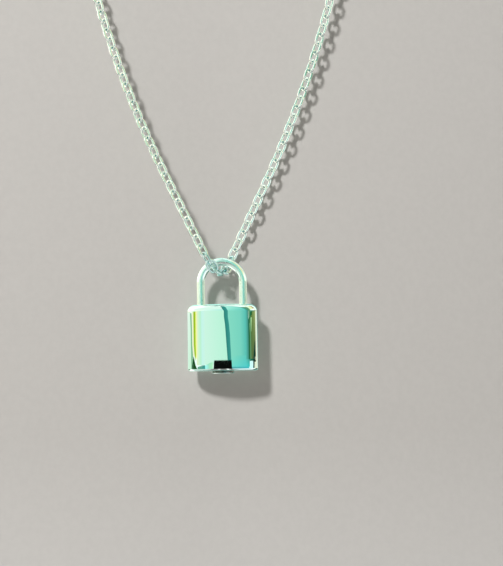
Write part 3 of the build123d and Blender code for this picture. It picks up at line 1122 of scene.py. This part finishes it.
class PENDANT_OT_key_plug(bpy.types.Operator):
    """Build the turned key plug with its keyway"""

    bl_idname = "pendant.key_plug"
    bl_label = "Key plug"

    def execute(self, context):
        middle = (-plug_middle, 0, -plug_low.z)
        material = turned_material("Turned plug", settings().finish, middle)
        skin = plug_skin(settings().plug, plug_high.z - plug_low.z)
        place = (plug_middle, 0, plug_low.z)
        put_piece("key_plug_turned", skin, place, material, "plug", ["key_plug"])
        return {"FINISHED"}


class PENDANT_OT_shackle(bpy.types.Operator):
    """Build the bent wire of the shackle"""

    bl_idname = "pendant.shackle"
    bl_label = "Shackle"

    def execute(self, context):
        sizes, finish, middle = settings(), settings().finish, (-shackle_middle, 0, 0)
        material = steel_material(
            "Polished shackle", finish, finish.drawn_wire, roughness=0.24, ripple=0.1, middle=middle
        )
        skin = shackle_skin(sizes.shackle, sizes.case.leg_spacing, shackle_low.z, case_high.z)
        place = (shackle_middle, 0, 0)
        put_piece(
            "shackle_polished", skin, place, material, "shackle", ["shackle"]
        )
        return {"FINISHED"}


class PENDANT_OT_cable_chain(bpy.types.Operator):
    """Build every link of the chain"""

    bl_idname = "pendant.cable_chain"
    bl_label = "Cable chain"

    def execute(self, context):
        finish, polish = settings().finish, {"roughness": 0.1, "ripple": 0.1, "scratches": 0.4}
        # The links carry painted shade where they meet and under the arch
        material = steel_material("Chain links", finish, finish.chain_wire, painted_shade=0.9, **polish)
        skin, place = chain_skin(settings().chain), arch_centre()
        put_piece(
            "cable_chain_links", skin, place, material, "necklace", ["cable_chain"]
        )
        return {"FINISHED"}


class PENDANT_OT_clasp(bpy.types.Operator):
    """Build the plain clasp, its eyelet and the end ring at the back of the neck"""

    bl_idname = "pendant.clasp"
    bl_label = "Clasp and end ring"

    def execute(self, context):
        chain, finish = settings().chain, settings().finish
        material = steel_material(
            "Clasp steel", finish, finish.drawn_wire, roughness=0.12, ripple=0.3
        )
        eyelet, ring, left, right = clasp_places(chain)
        middle, roll = (left - right) / 2, last_roll(chain)
        clasp, end_ring = Skin(), Skin()
        clasp.add(*rolled_ring(chain.clasp_diameter, chain.clasp_wire, 72, 20, roll), closed=True)
        clasp.add(
            *rolled_ring(chain.eyelet_diameter, chain.eyelet_wire, 48, 14, roll, -eyelet),
            closed=True,
        )
        quarter = math.pi / 2
        end_ring.add(
            *rolled_ring(chain.ring_diameter, chain.ring_wire, 60, 16, roll + quarter), closed=True
        )
        for name, skin, along, node in (
            ("clasp_plain", clasp, 0.0, "clasp"),
            ("end_ring_plain", end_ring, ring, "end_ring"),
        ):
            place = (middle + along, 0, 0)
            put_piece(name, skin, place, material, "necklace", [node])
        return {"FINISHED"}


def paper_sweep(gap, floor, middle, left_turn, right_turn):
    """Paper that runs along the floor and up behind the loop: a profile carried sideways.

    The profile is a line, a quarter circle and a line. Its distance behind the loop's plane follows
    a hyperbola, which is straight on both sides of a soft bend at the middle.
    """
    radius, near, high, half, softness, bend_reach = 0.05, -3.0, 3.0, 4.0, 3 * mm, 30 * mm
    bend = np.radians(np.linspace(-90, 0, 13))
    y = np.concatenate([[near], gap - radius + radius * np.cos(bend), [gap]])
    z = np.concatenate([[floor], floor + radius + radius * np.sin(bend), [high]])
    x = np.concatenate([[-half], np.linspace(-bend_reach, bend_reach, 31), [half]])
    left, right = math.tan(left_turn), math.tan(right_turn)
    away = (left + right) / 2 * x - (left - right) / 2 * (np.hypot(x, softness) - softness)
    grid = np.stack(np.broadcast_arrays(x + middle, y[:, None] + away, z[:, None]), axis=-1)
    mesh = bpy.data.meshes.new("paper_sweep")
    mesh.from_pydata(grid.reshape(-1, 3).tolist(), [], grid_faces(len(y), len(x)).tolist())
    mesh.shade_smooth()
    return mesh


def card_grid(rows, distance):
    """Points of one card: out along each bearing and elevation by the distance.

    The card's edges run straight from row to row, and it has a level at least every three degrees.
    """
    degrees_a_level, columns = 3, 33
    elevations, left, right = np.array(rows, float).T
    spans = [
        np.linspace(low, high, math.ceil((high - low) / degrees_a_level), endpoint=False)
        for low, high in zip(elevations, elevations[1:])
    ]
    levels = np.concatenate([*spans, elevations[-1:]])
    part = np.linspace(0, 1, columns)
    left, right = np.interp(levels, elevations, left), np.interp(levels, elevations, right)
    bearing = np.radians(left[:, None] + (right - left)[:, None] * part)
    level = np.radians(levels)[:, None] * np.ones_like(bearing)
    x, y = np.sin(bearing) * np.cos(level), -np.cos(bearing) * np.cos(level)
    return np.stack([x, y, np.sin(level)], axis=-1) * distance


def card_mesh(centre, distance):
    """Every card in one mesh, each a little further out than the last.

    A card's colour changes evenly up its left and right edges, and then from left to right.
    """
    points, colours, faces, count, gap = [], [], [], 0, 0.002
    for index, (rows, *corners) in enumerate(mirrored_cards.values()):
        grid = card_grid(rows, distance * (1 + gap * index))
        levels, columns = grid.shape[:2]
        faces.append(grid_faces(levels, columns) + count)
        points.append(grid.reshape(-1, 3) + centre)
        bottom, top = (corners * 2)[:2], (corners * 2)[-2:]
        edges = np.linspace(bottom, top, levels)
        colour = np.linspace(edges[:, 0], edges[:, 1], columns, axis=1)
        colours.append(np.pad(colour, ((0, 0), (0, 0), (0, 1)), constant_values=1).reshape(-1, 4))
        count += levels * columns
    mesh = bpy.data.meshes.new("mirrored_cards")
    mesh.from_pydata(np.concatenate(points).tolist(), [], np.concatenate(faces).tolist())
    glow = mesh.attributes.new("glow", "FLOAT_COLOR", "POINT")
    glow.data.foreach_set("color", np.concatenate(colours).ravel().astype(np.float32))
    return mesh


def studio_world(fill):
    """Even light for the paper, a pale ground for the eye and a softer one for the metal."""
    world = bpy.data.worlds.new("Studio")
    world.use_nodes = True
    bpy.context.scene.world = world
    tree = world.node_tree
    tree.nodes.clear()
    rays_are = put_node(tree, "ShaderNodeLightPath").outputs
    even, mirrored, seen = [
        put_node(tree, "ShaderNodeBackground", Color=(*colour, 1), Strength=strength).outputs[0]
        for colour, strength in (
            ((1, 1, 1), fill),
            (mirrored_surroundings, 1.2),
            (seen_surroundings, 1.0),
        )
    ]
    glossy, camera = rays_are["Is Glossy Ray"], rays_are["Is Camera Ray"]
    metal = put_node(tree, "ShaderNodeMixShader", i0=glossy, i1=even, i2=mirrored)
    whole = put_node(tree, "ShaderNodeMixShader", i0=camera, i1=metal.outputs[0], i2=seen)
    put_node(tree, "ShaderNodeOutputWorld", Surface=whole.outputs[0])


class PENDANT_OT_studio(bpy.types.Operator):
    """Set up the paper, the light, the mirrored cards and the camera"""

    bl_idname = "pendant.studio"
    bl_label = "Studio"

    def execute(self, context):
        studio, scene, arch = settings().studio, context.scene, Vector(arch_centre())
        floor = plug_low.z - studio.floor_drop
        mesh = paper_sweep(studio.paper_gap, floor, arch.x, studio.left_turn, studio.right_turn)
        mesh.materials.append(paper_material("Pale paper", studio.paper))
        paper = put_object("paper_sweep", mesh)
        mesh = card_mesh(np.array([arch.x, 0, case_low.z]), studio.card_distance)
        mesh.materials.append(glow_material("Card light"))
        cards = put_object("mirrored_cards", mesh)
        paper.visible_glossy = False
        cards.visible_camera = cards.visible_diffuse = cards.visible_shadow = False
        away = Vector(key_direction).normalized()
        lamp = bpy.data.lights.new("key_light", "AREA")
        lamp.shape, lamp.size, lamp.energy = "DISK", studio.key_size, studio.key_power
        key = put_object("key_light", lamp)
        turn = away.to_track_quat("Z", "Y").to_matrix().to_4x4()
        key.matrix_world = Matrix.Translation(arch + away * studio.key_distance) @ turn
        key.visible_camera = key.visible_glossy = False
        studio_world(studio.fill)
        lens = bpy.data.cameras.new("camera")
        lens.lens, lens.clip_start, lens.clip_end = studio.lens, 0.001, 20.0
        camera = put_object("camera", lens)
        turn = Matrix((camera_right, camera_up, -Vector(camera_ahead))).transposed()
        eye = arch + Vector(camera_place) * mm
        camera.matrix_world = Matrix.Translation(eye) @ turn.to_4x4()
        scene.camera = camera
        scene.view_settings.view_transform = "Standard"
        return {"FINISHED"}


class PENDANT_PT_sidebar(bpy.types.Panel):
    """Lists the pendant's pieces and settings."""

    bl_label = "Padlock pendant"
    bl_idname = "PENDANT_PT_sidebar"
    bl_space_type = "VIEW_3D"
    bl_region_type = "UI"
    bl_category = "Pendant"

    def draw(self, context):
        for operator in operators:
            self.layout.operator(operator.bl_idname)
        for group in ("case", "plug", "shackle", "chain", "finish", "studio"):
            box = self.layout.box()
            box.label(text=group.capitalize())
            values = getattr(context.scene.pendant, group)
            for name in values.__annotations__:
                box.prop(values, name)


operators = (
    PENDANT_OT_lock_case,
    PENDANT_OT_key_plug,
    PENDANT_OT_shackle,
    PENDANT_OT_cable_chain,
    PENDANT_OT_clasp,
    PENDANT_OT_studio,
)
classes = (
    CaseSizes,
    PlugSizes,
    ShackleSizes,
    ChainSizes,
    FinishSettings,
    StudioSettings,
    PendantSettings,
    *operators,
    PENDANT_PT_sidebar,
)


def register():
    """Makes the classes and the scene's settings known to Blender."""
    for entry in classes:
        bpy.utils.register_class(entry)
    bpy.types.Scene.pendant = bpy.props.PointerProperty(type=PendantSettings)


def unregister():
    """Takes the settings and the classes away again."""
    del bpy.types.Scene.pendant
    for entry in reversed(classes):
        bpy.utils.unregister_class(entry)


def main():
    """Builds every piece and the studio."""
    register()
    for operator in operators:
        getattr(bpy.ops.pendant, operator.bl_idname.partition(".")[2])()


if __name__ == "__main__":
    main()
